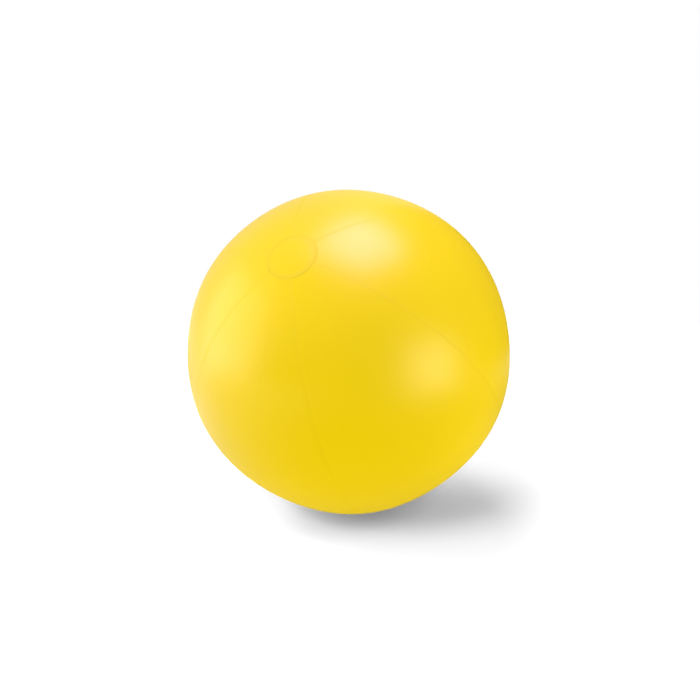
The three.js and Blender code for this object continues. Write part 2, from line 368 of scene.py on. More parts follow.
# %% [markdown]
# ## Lamps
#
# One lamp in a studio does three things: it lights, it throws a shadow, and it shows as a highlight.
# To match a photograph, each of these gets lamps of its own here. Light linking, a setting of every
# lamp, says which objects it lights and which ones block it. The ball's lamps leave the floor out
# and stay at a plain level, at which a colour comes out about as it is written. Some stand behind
# the ball, so that it is well lit from all sides, and the last lies under the floor. The floor's
# five lamps light nothing else, and their shadows add up to the soft one on the right. None of
# these lamps shows in reflections, so multiple importance sampling, which is for those, is off.

# %% How a lamp is aimed
def aim_lamp(name, direction, distance, width, height, watts):
    data = bpy.data.lights.new(name, "AREA")
    data.shape = "RECTANGLE"
    data.size = width
    data.size_y = height
    data.energy = watts
    lamp = link_object(name, data)
    ray = from_view(*direction).normalized()
    lamp.location = ball_middle + ray * distance
    lamp.rotation_euler = ray.to_track_quat("Z", "Y").to_euler()
    lamp.visible_camera = False
    return lamp


def add_light(name, direction, distance, width, height, level):
    """A lamp that lights but doesn't reflect; `level` is what white paper facing it gains."""
    watts = level * (math.pi * distance) ** 2
    lamp = aim_lamp(name, direction, distance, width, height, watts)
    lamp.visible_glossy = False
    lamp.data.cycles.use_multiple_importance_sampling = False
    return lamp


def floor_group(name, state):
    """A group that holds the floor, for lamps that light the floor alone or leave it out."""
    group = bpy.data.collections.new(name)
    group.objects.link(floor)
    group.collection_objects[0].light_linking.link_state = state
    return group


all_but_floor = floor_group("all but the floor", "EXCLUDE")
only_floor = floor_group("only the floor", "INCLUDE")
print("light groups:", all_but_floor.name, "and", only_floor.name)

# %% Light on the ball
def light_ball(*values):
    """A lamp for which the floor isn't there."""
    lamp = add_light(*values)
    lamp.light_linking.receiver_collection = all_but_floor
    lamp.light_linking.blocker_collection = all_but_floor


# Each line says name, direction (right, toward, up), distance, width, height and level.
light_ball("key light", (-0.4, 0.0, 0.92), 1.1, 0.5, 0.5, 0.62)
light_ball("front light", (0.34, 0.9, 0.28), 1.3, 0.8, 0.1, 0.57)
light_ball("right light", (0.95, -0.1, 0.34), 1.2, 0.5, 0.2, 0.34)
light_ball("right back light", (0.7, -0.4, -0.6), 1.2, 0.5, 0.5, 0.1)
light_ball("back light", (0.4, -0.73, 0.55), 1.2, 0.6, 0.4, 0.43)
light_ball("left light", (-0.87, 0.4, -0.2), 1.2, 0.6, 0.2, 0.37)
light_ball("left back light", (-0.9, -0.25, -0.36), 1.2, 0.6, 0.2, 0.28)

FLOOR_BOUNCE = 1.24
BOUNCE_SIZE = 2.0
BOUNCE_DEPTH = 0.5
bounce_level = FLOOR_BOUNCE * BOUNCE_SIZE**2 / (math.pi * BOUNCE_DEPTH**2)
light_ball("floor bounce", (0.2, -0.26, -1), BOUNCE_DEPTH, BOUNCE_SIZE, BOUNCE_SIZE, bounce_level)
print("lamps for the ball:", [light.name for light in bpy.data.lights])

# %% Light on the floor
def light_floor(*values):
    lamp = add_light(*values)
    lamp.light_linking.receiver_collection = only_floor


light_floor("floor lamp front left", (-0.62, 0.625, 0.47), 1.2, 0.5, 0.5, 0.64)
light_floor("floor lamp front", (-0.4, 0.51, 0.765), 1.2, 0.74, 0.74, 0.51)
light_floor("floor lamp front right", (0.58, 0.52, 0.63), 1.2, 0.5, 0.5, 0.29)
light_floor("floor lamp back left", (-0.62, -0.77, 0.174), 1.2, 0.74, 0.74, 1.51)
light_floor("floor lamp top", (-0.08, -0.29, 0.95), 1.2, 0.58, 0.58, 0.44)
print("lamps so far:", len(bpy.data.lights))

# %% [markdown]
# ## Highlights
#
# Three lamps show on the ball: a large box above it, a tall panel on the left and a smaller box on
# the right. They only reflect. Bright yellow in a photograph holds its green back as it nears white,
# so the overhead box, whose highlight is the brightest, has less green than white light. Behind the
# camera a studio is dark. A curtain that only reflections can see stands for that, and keeps the
# yellow of the front deep.

# %% Shine
OVERHEAD_TINT = (1.0, 0.4, 1.0)


def add_shine(name, direction, distance, width, height, brightness):
    """A lamp that only reflects."""
    watts = brightness * math.pi * width * height
    lamp = aim_lamp(name, direction, distance, width, height, watts)
    lamp.visible_diffuse = False
    lamp.visible_transmission = False
    return lamp


overhead = add_shine("overhead box", (0.09, 0.08, 0.97), 1.1, 0.65, 0.65, 8.2)
overhead.data.color = OVERHEAD_TINT
add_shine("left panel", (-0.98, 0.09, 0.25), 0.9, 0.86, 0.7, 2.2)
add_shine("right box", (0.75, 0.65, -0.04), 0.6, 0.32, 0.32, 3.4)
print("lamps in all:", len(bpy.data.lights))

# %% Dark curtain
CURTAIN_RADIUS = 0.75
CURTAIN_HEIGHT = 1.5
CURTAIN_BLACK = (0.03, 0.03, 0.03, 1)
CURTAIN_BEARINGS = [math.radians(angle) for angle in range(-60, 161, 10)]


def curtain_mesh():
    """A tall sheet bent round the ball, from the left of the camera to the far right."""
    foot = [from_view(math.sin(a), math.cos(a), 0) * CURTAIN_RADIUS for a in CURTAIN_BEARINGS]
    top = [point + Vector((0, 0, CURTAIN_HEIGHT)) for point in foot]
    count = len(foot)
    faces = [(i, i + 1, count + i + 1, count + i) for i in range(count - 1)]
    mesh = bpy.data.meshes.new("dark curtain")
    mesh.from_pydata(foot + top, [], faces)
    cloth = bpy.data.materials.new("dark curtain")
    cloth.use_nodes = True
    cloth.node_tree.nodes["Principled BSDF"].inputs["Base Color"].default_value = CURTAIN_BLACK
    mesh.materials.append(cloth)
    return mesh


curtain = link_object("curtain", curtain_mesh())
curtain.visible_camera = False
curtain.visible_diffuse = False
curtain.visible_transmission = False
curtain.visible_shadow = False
print("curtain of", len(curtain.data.polygons), "faces")

# %% [markdown]
# ## The skin of the film
#
# Blown-up vinyl film is satin, not mirror-bright: rollers leave a very fine grain on it, which
# spreads each highlight. Its colour is even. Where two layers are welded, light has more plastic
# to pass and the welding tool leaves the film dull, so a seam is a little deeper in colour and
# shows most where a highlight crosses it. Part of that deeper colour is painted shade, for the
# shade in a seam's crease and in the groove at a disc's rim. The film pieces carry both as
# attributes on their meshes, weld_tint_and_painted_shade and weld_dull. A shader node group holds what
# the yellow film and the milky valve share. It puts out only what changes over the surface: a colour, a
# roughness and a height.

# %% A shared group for soft vinyl
def sockets(tree, direction, kinds):
    for name, kind in kinds.items():
        tree.interface.new_socket(name, in_out=direction, socket_type=f"NodeSocket{kind}")


def mix_colours(tree, share, first, second):
    node = add_node(tree, "ShaderNodeMix", {"data_type": "RGBA"})
    connect(tree, share, node.inputs[0])
    connect(tree, first, node.inputs[6])
    connect(tree, second, node.inputs[7])
    return node.outputs[2]


def noise(tree, vector, scale, detail):
    node = add_node(tree, "ShaderNodeTexNoise", Vector=vector, Scale=scale, Detail=detail)
    return Field(node.outputs[0])


GRAIN_PER_METRE = 1400
GRAIN_DETAIL = 3.0
GRAIN_DULLS = 0.08
CLOUDS_PER_METRE = 28
CLOUD_DETAIL = 2.0
CLOUD_DULLS = 0.06


def vinyl_group():
    tree = bpy.data.node_groups.new("soft vinyl", "ShaderNodeTree")
    sockets(tree, "INPUT", {
        "Colour": "Color",
        "Deep Colour": "Color",
        "Cloudiness": "Float",
        "Weld": "Float",
        "Roughness": "Float",
        "Weld Dulls": "Float",
        "Grain": "Float",
    })
    sockets(tree, "OUTPUT", {"Colour": "Color", "Roughness": "Float", "Height": "Float"})
    given = tree.nodes.new("NodeGroupInput").outputs
    place = tree.nodes.new("ShaderNodeTexCoord").outputs["Object"]
    clouds = noise(tree, place, CLOUDS_PER_METRE, CLOUD_DETAIL)
    grain = noise(tree, place, GRAIN_PER_METRE, GRAIN_DETAIL)
    # The weld darkens the colour. Part of this is the welded film's deeper colour, and part is painted
    # shade of the seams' creases and of the groove at a disc's rim.
    depth = (clouds * Field(given["Cloudiness"]) + Field(given["Weld"])).apply("MINIMUM", 1.0)
    result = tree.nodes.new("NodeGroupOutput").inputs
    connect(tree, mix_colours(tree, depth, given["Colour"], given["Deep Colour"]), result["Colour"])
    dull = Field(given["Roughness"]) + (grain - 0.5) * Field(given["Grain"])
    dull = dull + (clouds - 0.5) * CLOUD_DULLS
    connect(tree, dull + Field(given["Weld Dulls"]), result["Roughness"])
    connect(tree, grain, result["Height"])
    return tree


vinyl = vinyl_group()
print("node group", vinyl.name, "with", len(vinyl.nodes), "nodes")

# %% Two vinyl finishes
def vinyl_material(name, colour, deep_colour, cloudiness, roughness, bump, welded):
    material = bpy.data.materials.new(name)
    material.use_nodes = True
    tree = material.node_tree
    shader = tree.nodes["Principled BSDF"]
    skin = tree.nodes.new("ShaderNodeGroup")
    skin.node_tree = vinyl
    values = {
        "Colour": (*colour, 1),
        "Deep Colour": (*deep_colour, 1),
        "Cloudiness": cloudiness,
        "Weld": 0.0,
        "Roughness": roughness,
        "Weld Dulls": 0.0,
        "Grain": GRAIN_DULLS,
    }
    if welded:
        shade = add_node(tree, "ShaderNodeAttribute", {"attribute_name": "weld_tint_and_painted_shade"})
        dull = add_node(tree, "ShaderNodeAttribute", {"attribute_name": "weld_dull"})
        values["Weld"] = shade.outputs["Fac"]
        values["Weld Dulls"] = dull.outputs["Fac"]
    for label, value in values.items():
        connect(tree, value, skin.inputs[label])
    relief = add_node(tree, "ShaderNodeBump", Height=skin.outputs["Height"], Strength=1.0, Distance=bump)
    connect(tree, skin.outputs["Colour"], shader.inputs["Base Color"])
    connect(tree, skin.outputs["Roughness"], shader.inputs["Roughness"])
    connect(tree, relief.outputs[0], shader.inputs["Normal"])
    return material


film_yellow = vinyl_material(
    "yellow vinyl film", (0.88, 0.62, 0.001), (0.66, 0.5, 0.001), 0.05, 0.36, 0.004 * MM, True
)
valve_white = vinyl_material(
    "milky soft vinyl", (0.8, 0.79, 0.72), (0.66, 0.64, 0.55), 0.3, 0.42, 0.01 * MM, False
)
print("materials:", film_yellow.name, "and", valve_white.name)

# %% [markdown]
# ## The panels
#
# A panel is a long leaf of film. Its edges turn inwards over a tight fold and run on as the fins
# that are welded to the neighbours, so that a seam is a fine crease and not a drawn line.
# Because the leaf follows a rule, a Geometry Nodes tree can make it: a flat grid gets its place
# on the ball from a formula. Columns crowd towards the edges, where the fold is. Film that is
# welded along a curve puckers a little there, which noise along the seam gives, and film below
# the floor is pressed flat onto it. The panels are hidden from rays that bounce off the floor,
# because the shadow in the photograph is grey and their yellow would colour it.

# %% Start a geometry tree
def geometry_tree(name, inputs):
    tree = bpy.data.node_groups.new(name, "GeometryNodeTree")
    sockets(tree, "OUTPUT", {"Geometry": "Geometry"})
    sockets(tree, "INPUT", {**inputs, "Material": "Material"})
    given = tree.nodes.new("NodeGroupInput").outputs
    fields = {label: Field(given[label]) for label in inputs}
    return tree, given, fields


def film_grid(tree, given):
    """A grid of film, with x from -1 to 1 and y from 0 to 1 before it is placed."""
    columns, rows = given["Columns"], given["Rows"]
    grid = add_node(
        tree, "GeometryNodeMeshGrid", Size_X=2.0, Size_Y=2.0, Vertices_X=columns, Vertices_Y=rows
    )
    x, y, _ = separate(tree, tree.nodes.new("GeometryNodeInputPosition").outputs[0])
    return grid.outputs["Mesh"], x, (y + 1.0) * 0.5


FILM_MERGE = 0.001 * MM


def finish_tree(tree, given, mesh, position, weld):
    """Places the grid, closes it where it meets itself, stores the weld's deeper colour with its painted
    shade and its dullness, sets the finish.
    """
    for look in ("Weld Tint And Painted Shade", "Weld Dull"):
        stored = add_node(
            tree,
            "GeometryNodeStoreNamedAttribute",
            Geometry=mesh,
            Name=look.lower().replace(" ", "_"),
            Value=weld * Field(given[look]),
        )
        mesh = stored.outputs[0]
    placed = add_node(tree, "GeometryNodeSetPosition", Geometry=mesh, Position=position)
    closed = add_node(
        tree, "GeometryNodeMergeByDistance", Geometry=placed.outputs[0], Distance=FILM_MERGE
    )
    smooth = add_node(tree, "GeometryNodeSetShadeSmooth", Geometry=closed.outputs[0])
    whole = add_node(tree, "GeometryNodeRealizeInstances", Geometry=smooth.outputs[0])
    finish = add_node(
        tree, "GeometryNodeSetMaterial", Geometry=whole.outputs[0], Material=given["Material"]
    )
    result = tree.nodes.new("NodeGroupOutput")
    tree.links.new(finish.outputs[0], result.inputs[0])


print("geometry helpers ready")

# %% The rule of a panel
FIN_SHARE = 0.1
PUCKER_DETAIL = 1.0


def ridged(size, swing, sine):
    """How far out the film lies: least on a panel's crown, most on the round ridge over a seam."""
    crown = (swing * math.pi / size["Half Wedge"]).apply("COSINE") * 0.5 + 0.5
    return size["Seam Radius"] - (size["Seam Radius"] - size["Crown Radius"]) * crown * sine * sine


def panel_tree():
    tree, given, size = geometry_tree("film panel", {
        "Columns": "Int",
        "Rows": "Int",
        "Crown Radius": "Float",
        "Seam Radius": "Float",
        "Pole Height": "Float",
        "Tip Tilt": "Float",
        "Half Wedge": "Float",
        "Fold": "Float",
        "Fin": "Float",
        "Weld Line": "Float",
        "Weld Tint And Painted Shade": "Float",
        "Weld Dull": "Float",
        "Pucker": "Float",
        "Pucker Reach": "Float",
        "Puckers Per Metre": "Float",
        "Turn": "Float",
        "Lean": "Float",
        "Middle": "Vector",
    })
    mesh, x, along = film_grid(tree, given)

    # The outer share of the columns on each side is the fin.
    across = x * (1.0 + FIN_SHARE)
    side = across.apply("SIGN")
    into_fin = ((across.apply("ABSOLUTE") - 1.0) / FIN_SHARE).apply("MAXIMUM", 0.0)
    over_panel = across.apply("MINIMUM", 1.0).apply("MAXIMUM", -1.0)
    swing = (over_panel * (math.pi / 2)).apply("SINE") * size["Half Wedge"]
    tilt = (math.pi - size["Tip Tilt"]) - along * (math.pi - size["Tip Tilt"] * 2.0)
    sine, cosine = tilt.apply("SINE"), tilt.apply("COSINE")

    # The fold is a quarter circle that ends at the seam.
    gap = (size["Half Wedge"] - swing.apply("ABSOLUTE")) * size["Seam Radius"] * sine
    lack = (size["Fold"] - gap).apply("MAXIMUM", 0.0)
    level = (size["Fold"] * size["Fold"] - lack * lack).apply("MAXIMUM", 0.0).apply("SQRT")
    fold = size["Fold"] - level

    # Both panels at a seam read the same noise, because it is read at the seam's own point.
    seam_x = size["Seam Radius"] * sine * size["Half Wedge"].apply("COSINE")
    seam_y = size["Seam Radius"] * sine * size["Half Wedge"].apply("SINE") * side
    seam = combine(tree, seam_x, seam_y, size["Pole Height"] * cosine)
    seam = rotate(tree, seam, "Z", given["Turn"])
    wave = noise(tree, seam, given["Puckers Per Metre"], PUCKER_DETAIL)
    fade = ((gap / size["Pucker Reach"]) * -1.0).apply("EXPONENT")
    pucker = (wave - 0.5) * 2.0 * size["Pucker"] * fade

    depth = fold + pucker + into_fin * size["Fin"]
    reach = ridged(size, swing, sine) - depth
    point = combine(
        tree,
        reach * swing.apply("COSINE") * sine,
        reach * swing.apply("SINE") * sine,
        (size["Pole Height"] - depth) * cosine,
    )
    turned = rotate(tree, rotate(tree, point, "Z", given["Turn"]), "X", given["Lean"])
    placed = add_node(tree, "ShaderNodeVectorMath", {"operation": "ADD"})
    connect(tree, turned, placed.inputs[0])
    connect(tree, given["Middle"], placed.inputs[1])
    row_x, row_y, row_z = separate(tree, placed.outputs[0])
    pressed = combine(tree, row_x, row_y, row_z.apply("MAXIMUM", 0.0))
    # Along a seam the colour deepens. Part of this is the welded film's own colour, and part is painted
    # shade of the crease.
    line = (1.0 - gap / size["Weld Line"]).apply("MAXIMUM", 0.0)
    finish_tree(tree, given, mesh, pressed, line)
    return tree


panel_rule = panel_tree()
print("panel tree with", len(panel_rule.nodes), "nodes")

# %% From a tree to a plain mesh
FILM_SHARP = math.radians(30)


def grow(name, tree, values, thickness):
    """Runs a geometry tree, gives the film its thickness inwards, and keeps a plain mesh."""
    piece = link_object(name, bpy.data.meshes.new(name))
    shape = piece.modifiers.new("shape", "NODES")
    shape.node_group = tree
    for item in tree.interface.items_tree:
        if item.in_out == "INPUT":
            shape[item.identifier] = values[item.name]
    wall = piece.modifiers.new("wall", "SOLIDIFY")
    wall.thickness = thickness
    wall.offset = -1
    evaluated = piece.evaluated_get(bpy.context.evaluated_depsgraph_get())
    piece.data = bpy.data.meshes.new_from_object(evaluated)
    piece.data.set_sharp_from_angle(angle=FILM_SHARP)
    piece.data.name = name
    piece.modifiers.clear()
    return piece


def settle(piece, body, slot, *nodes):
    """The piece rides on its body and stands for its CAD nodes."""
    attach(piece, body)
    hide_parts(*nodes)
    print(piece.name, len(piece.data.polygons), "faces")


print("piece helpers ready")

# %% Six panels
panel_sizes = {
    "Columns": 67,
    "Rows": 141,
    "Crown Radius": crown_radius,
    "Seam Radius": SEAM_RADIUS,
    "Pole Height": POLE_HEIGHT,
    "Tip Tilt": tip_tilt,
    "Half Wedge": half_wedge,
    "Fold": 0.1 * MM,
    "Fin": 3.2 * MM,
    "Weld Line": 1.5 * MM,
    "Weld Tint And Painted Shade": 0.04,
    "Weld Dull": 0.12,
    "Pucker": 0.03 * MM,
    "Pucker Reach": 7 * MM,
    "Puckers Per Metre": 90.0,
    "Lean": POLE_LEAN,
    "Middle": ball_middle,
    "Material": film_yellow,
}

for panel in range(PANEL_COUNT):
    name = f"film_panel_{panel + 1}"
    sizes = {**panel_sizes, "Turn": panel_turn(panel)}
    piece = grow(name, panel_rule, sizes, FILM)
    piece.visible_diffuse = False
    settle(piece, "ball", "film", f"panel_{panel + 1}")

# %% [markdown]
# ## The pole discs
#
# A disc of the same film covers the panel tips. It lies on the panels and takes their ridges. The
# weld presses its edge thin and leaves it darker and duller, with a faint ring of ribs just inside.
# Part of the darker colour is painted shade, for the groove that the weld leaves at the rim.
# A disc cut from a sphere would hover over the seams, so the same grid-and-rule way is used,
# wrapped round the pole.

# %% The rule of a disc
RIB_COUNT = 120.0


def disc_tree():
    tree, given, size = geometry_tree("pole disc", {
        "Columns": "Int",
        "Rows": "Int",
        "Crown Radius": "Float",
        "Seam Radius": "Float",
        "Pole Height": "Float",
        "Half Wedge": "Float",
        "Hole Radius": "Float",
        "Rim Radius": "Float",
        "Raise": "Float",
        "Rim Raise": "Float",
        "Weld Width": "Float",
        "Weld Relief": "Float",
        "Weld Tint And Painted Shade": "Float",
        "Weld Dull": "Float",
        "Spin": "Float",
        "Lean": "Float",
        "Middle": "Vector",
    })
    mesh, x, along = film_grid(tree, given)
    azimuth = x * math.pi
    radius = size["Rim Radius"] - along * (size["Rim Radius"] - size["Hole Radius"])
    edge = size["Rim Radius"] - radius

    # The disc takes the ridges of the panels under it.
    tilt = (radius / size["Seam Radius"]).apply("ARCSINE")
    sine, cosine = tilt.apply("SINE"), tilt.apply("COSINE")
    section = ridged(size, azimuth - size["Spin"], sine)

    # From the pressed edge the film climbs over the weld to its full height.
    climb = (edge / size["Weld Width"]).apply("MINIMUM", 1.0)
    rise = climb * climb * (3.0 - climb * 2.0)
    ring = (climb * (1.0 - climb)) * 4.0
    ribs = (azimuth * RIB_COUNT).apply("SINE") * ring * size["Weld Relief"]
    raise_by = size["Rim Raise"] + (size["Raise"] - size["Rim Raise"]) * rise + ribs

    outwards = (section + raise_by) * sine
    point = combine(
        tree,
        outwards * azimuth.apply("COSINE"),
        outwards * azimuth.apply("SINE"),
        (size["Pole Height"] + raise_by) * cosine,
    )
    placed = add_node(tree, "ShaderNodeVectorMath", {"operation": "ADD"})
    connect(tree, rotate(tree, point, "X", given["Lean"]), placed.inputs[0])
    connect(tree, given["Middle"], placed.inputs[1])
    # Towards the rim the colour darkens. Part of this is the weld's own colour, and part is painted
    # shade of the groove there.
    near_edge = (1.0 - edge / size["Weld Width"]).apply("MAXIMUM", 0.0)
    finish_tree(tree, given, mesh, placed.outputs[0], near_edge)
    return tree


disc_rule = disc_tree()
print("disc tree with", len(disc_rule.nodes), "nodes")

# %% Two discs
disc_sizes = {
    "Columns": 361,
    "Rows": 25,
    "Crown Radius": crown_radius,
    "Seam Radius": SEAM_RADIUS,
    "Pole Height": POLE_HEIGHT,
    "Half Wedge": half_wedge,
    "Rim Radius": DISC_RADIUS,
    "Raise": 0.2 * MM,
    "Rim Raise": 0.09 * MM,
    "Weld Width": 4.4 * MM,
    "Weld Relief": 0.01 * MM,
    "Weld Tint And Painted Shade": 0.46,
    "Weld Dull": 0.3,
    "Middle": ball_middle,
    "Material": film_yellow,
}
plain_sizes = {**disc_sizes, "Hole Radius": 0.0, "Spin": PANEL_SPIN, "Lean": POLE_LEAN}
settle(grow("plain_disc", disc_rule, plain_sizes, FILM), "ball", "film", "plain_pole_disc")

valve_sizes = {
    **disc_sizes,
    "Hole Radius": DISC_HOLE_RADIUS,
    "Spin": -PANEL_SPIN,
    "Lean": POLE_LEAN + math.pi,
}
settle(grow("valve_disc", disc_rule, valve_sizes, FILM), "ball", "film", "valve_pole_disc")

# %% [markdown]
# ## The mouth valve
#
# The valve is moulded from soft, milky vinyl. Most of its pieces are round, so their outlines are
# turned about the valve's axis. Moulded edges are never sharp: each corner of an outline gets
# its own small fillet before it is turned.

# %% Turned pieces
TURN_STEPS = 72
FILLET_STEPS = 5
TURN_MERGE = 0.0001 * MM
MOULDED_SHARP = math.radians(40)


def rounded(corners):
    """An outline of (radius, height, fillet) corners with each corner rounded off."""
    outline = []
    count = len(corners)
    for i, (radius, height, fillet) in enumerate(corners):
        corner = Vector((radius, height))
        if fillet == 0:
            outline.append(corner)
            continue
        before = (Vector(corners[i - 1][:2]) - corner).normalized()
        after = (Vector(corners[(i + 1) % count][:2]) - corner).normalized()
        half_angle = before.angle(after) / 2
        reach = fillet / math.tan(half_angle)
        centre = corner + (before + after).normalized() * (fillet / math.sin(half_angle))
        first = corner + before * reach - centre
        last = corner + after * reach - centre
        for step in range(FILLET_STEPS + 1):
            ray = first.slerp(last, step / FILLET_STEPS)
            outline.append(centre + ray)
    return outline


def turn(name, outline, place, material):
    """A closed outline turned about the valve's axis; lengths in millimetres."""
    shape = bmesh.new()
    rings = []
    for step in range(TURN_STEPS):
        angle = 2 * math.pi * step / TURN_STEPS
        ray = Vector((math.cos(angle), math.sin(angle), 0))
        rings.append([shape.verts.new((ray * p.x + Vector((0, 0, p.y))) * MM) for p in outline])
    for step, ring in enumerate(rings):
        following = rings[(step + 1) % TURN_STEPS]
        for i in range(len(outline)):
            j = (i + 1) % len(outline)
            shape.faces.new((ring[i], following[i], following[j], ring[j]))
    bmesh.ops.remove_doubles(shape, verts=shape.verts, dist=TURN_MERGE)
    bmesh.ops.dissolve_degenerate(shape, edges=shape.edges, dist=TURN_MERGE)
    bmesh.ops.recalc_face_normals(shape, faces=shape.faces)
    return keep(name, shape, place, material)


def keep(name, shape, place, material):
    mesh = bpy.data.meshes.new(name)
    shape.to_mesh(mesh)
    shape.free()
    mesh.transform(place)
    mesh.shade_smooth()
    mesh.set_sharp_from_angle(angle=MOULDED_SHARP)
    mesh.materials.append(material)
    return link_object(name, mesh)


print("turned pieces have", TURN_STEPS, "steps")

# %% Stem and flap
BORE_RADIUS = 2.8
STEM_RADIUS = 4.5
STEM_RIM = 2.0
STEM_FOOT = STEM_RIM - 14
STEM_NECK = STEM_RADIUS - 0.25
LIP_BOTTOM = STEM_RIM - 2.0
LIP_FULL = STEM_RIM - 1.5
COLLAR_RADIUS = STEM_RADIUS + 0.9
COLLAR_TOP = STEM_FOOT + 1.2
VALVE_GAP = 0.3
FLAP_RADIUS = BORE_RADIUS + 0.9
FLAP_TOP = STEM_FOOT - VALVE_GAP
FLAP_UNDERSIDE = FLAP_TOP - 0.6

stem = turn("stem", rounded([
    (BORE_RADIUS, STEM_FOOT, 0.2),
    (COLLAR_RADIUS, STEM_FOOT, 0.3),
    (COLLAR_RADIUS, COLLAR_TOP, 0.3),
    (STEM_NECK, COLLAR_TOP, 0.2),
    (STEM_NECK, LIP_BOTTOM, 0.5),
    (STEM_RADIUS, LIP_FULL, 0.4),
    (STEM_RADIUS, STEM_RIM, 0.6),
    (BORE_RADIUS, STEM_RIM, 0.35),
]), valve_place, valve_white)
settle(stem, "stem", "valve", "valve_stem")

flap = turn("flap", rounded([
    (0, FLAP_UNDERSIDE, 0),
    (FLAP_RADIUS, FLAP_UNDERSIDE, 0.2),
    (FLAP_RADIUS, FLAP_TOP, 0.2),
    (0, FLAP_TOP, 0),
]), valve_place, valve_white)
settle(flap, "flap", "valve", "check_flap")

# %% [markdown]
# The flange is a flat ring under the disc and takes the ball's curve. The web is a thin cup that
# hangs from it and holds the stem by its foot, so that the stem can be pushed in and pulled out.

# %% Flange
MOUTH_RADIUS = 9.868
WEB_WALL = 0.6
FLANGE_INNER = MOUTH_RADIUS + WEB_WALL + VALVE_GAP
FLANGE_OUTER = FLANGE_INNER + 3
FLANGE_THICKNESS = 0.8
FLANGE_UNDER_FILM = 0.02


def on_pole(radius, raised):
    """A point over or under the film near the pole, as (radius, height) from the pole."""
    tilt = math.asin(radius * MM / SEAM_RADIUS)
    return (
        (SEAM_RADIUS / MM + raised) * math.sin(tilt),
        (POLE_HEIGHT / MM + raised) * math.cos(tilt) - POLE_HEIGHT / MM,
    )


flange = turn("flange", rounded([
    (*on_pole(FLANGE_INNER, -FLANGE_THICKNESS), 0.2),
    (*on_pole(FLANGE_OUTER, -FLANGE_THICKNESS), 0.3),
    (*on_pole(FLANGE_OUTER, -FLANGE_UNDER_FILM), 0.2),
    (*on_pole(FLANGE_INNER, -FLANGE_UNDER_FILM), 0.2),
]), valve_place, valve_white)
settle(flange, "ball", "valve", "valve_flange")

# %% Web
WEB_STEPS = 24
WEB_HANGS = 0.6
WEB_TURNS_IN = 0.25
WEB_WAIST = STEM_RADIUS - 0.15
WEB_LIP_RADIUS = FLANGE_INNER + 0.05
WEB_LIP_DROPS = (0.75, 0.1)


def bezier(start, pull, push, end, share):
    rest = 1 - share
    return (
        start * rest**3
        + pull * (3 * rest**2 * share)
        + push * (3 * rest * share**2)
        + end * share**3
    )


def web_outline():
    half_wall = WEB_WALL / 2
    mouth = MOUTH_RADIUS + half_wall
    top = on_pole(mouth, 0)[1]
    foot = COLLAR_TOP + VALVE_GAP + half_wall
    start = Vector((mouth, top))
    pull = Vector((mouth, top - (top - foot) * WEB_HANGS))
    push = Vector((mouth - (mouth - WEB_WAIST) * WEB_TURNS_IN, foot))
    end = Vector((WEB_WAIST, foot))
    shares = [step / WEB_STEPS for step in range(WEB_STEPS + 1)]
    middle = [bezier(start, pull, push, end, share) for share in shares]
    outer, inner = [], []
    for i, point in enumerate(middle):
        along = (middle[min(i + 1, WEB_STEPS)] - middle[max(i - 1, 0)]).normalized()
        aside = Vector((-along.y, along.x)) * half_wall
        outer.append(point + aside)
        inner.append(point - aside)
    lip = [Vector((WEB_LIP_RADIUS, top - drop)) for drop in WEB_LIP_DROPS]
    return [*reversed(outer[2:]), *lip, *inner]


web = turn("web", web_outline(), valve_place, valve_white)
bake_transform(web)
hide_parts("valve_web")
print("web", len(web.data.polygons), "faces")

# %% [markdown]
# The plug has a round head, a shank that tapers so that it finds the bore, a bead that holds it
# there, and a tab for a fingernail. Head and tab are one moulding, so the two meshes are joined
# with a Boolean and not just pushed into each other.

# %% Plug
HEAD_RADIUS = 4.2
HEAD_BASE = STEM_RIM + VALVE_GAP
HEAD_TOP = HEAD_BASE + 1.6
DISH_RIM = 2.3
DISH_FLOOR = 1.9
DISH_DEPTH = 0.3
SHANK_TIP = STEM_RIM - 4.5
SHANK_RADIUS = BORE_RADIUS - VALVE_GAP

plug = turn("plug", rounded([
    (0, SHANK_TIP, 0),
    (SHANK_RADIUS - 1.1, SHANK_TIP, 0.5),
    (SHANK_RADIUS - 0.5, SHANK_TIP + 0.9, 0.6),
    (SHANK_RADIUS - 0.15, SHANK_TIP + 1.8, 0.5),
    (SHANK_RADIUS - 0.25, SHANK_TIP + 2.6, 0.6),
    (SHANK_RADIUS, HEAD_BASE - 0.4, 0.4),
    (SHANK_RADIUS, HEAD_BASE, 0.1),
    (HEAD_RADIUS, HEAD_BASE, 0.3),
    (HEAD_RADIUS, HEAD_TOP, 0.6),
    (DISH_RIM, HEAD_TOP, 0.3),
    (DISH_FLOOR, HEAD_TOP - DISH_DEPTH, 0.3),
    (0, HEAD_TOP - DISH_DEPTH, 0),
]), valve_place, valve_white)
print("plug without its tab:", len(plug.data.polygons), "faces")

# %% The plug's tab
TAB_HALF_WIDTH = 2.2
TAB_END = HEAD_RADIUS + 2.4 - TAB_HALF_WIDTH
TAB_ROOT = 1.0
TAB_THICKNESS = 0.8
TAB_STEPS = 24
TAB_BEVEL = 0.2 * MM
TAB_BEVEL_STEPS = 3
LEVEL = 1e-9


